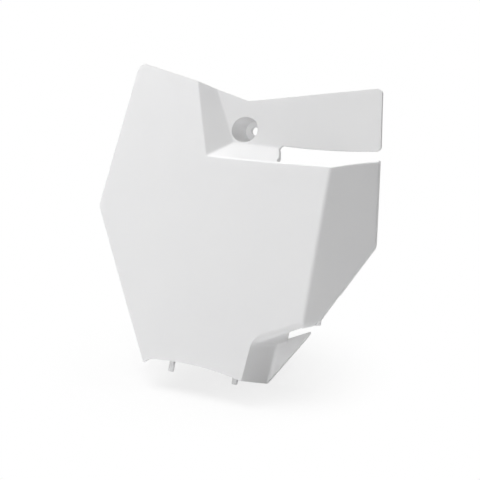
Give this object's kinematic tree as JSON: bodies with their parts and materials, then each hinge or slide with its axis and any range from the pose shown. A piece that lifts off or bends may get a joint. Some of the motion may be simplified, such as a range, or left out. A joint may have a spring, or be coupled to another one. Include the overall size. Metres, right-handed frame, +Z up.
{
  "type": "motorcycle front number board",
  "caption": "Moulded front number board for an off-road motorcycle, with a recessed bolt boss, a swept wing, a folded side flange, a hose pocket and locating pins.",
  "frame": {"origin": "middle of the web under the bolt head, on the axis of the upper bolt hole", "axes": "+X to the side with the folded flange (right as seen from the front), +Y backwards towards the machine, +Z up; the plate leans back 22.5 degrees"},
  "size_m": [0.2345, 0.1331, 0.2467],
  "materials": {
    "white_plastic": "satin white moulding"
  },
  "bodies": {
    "root": {"number_board": "white_plastic"}
  },
  "joints": []
}
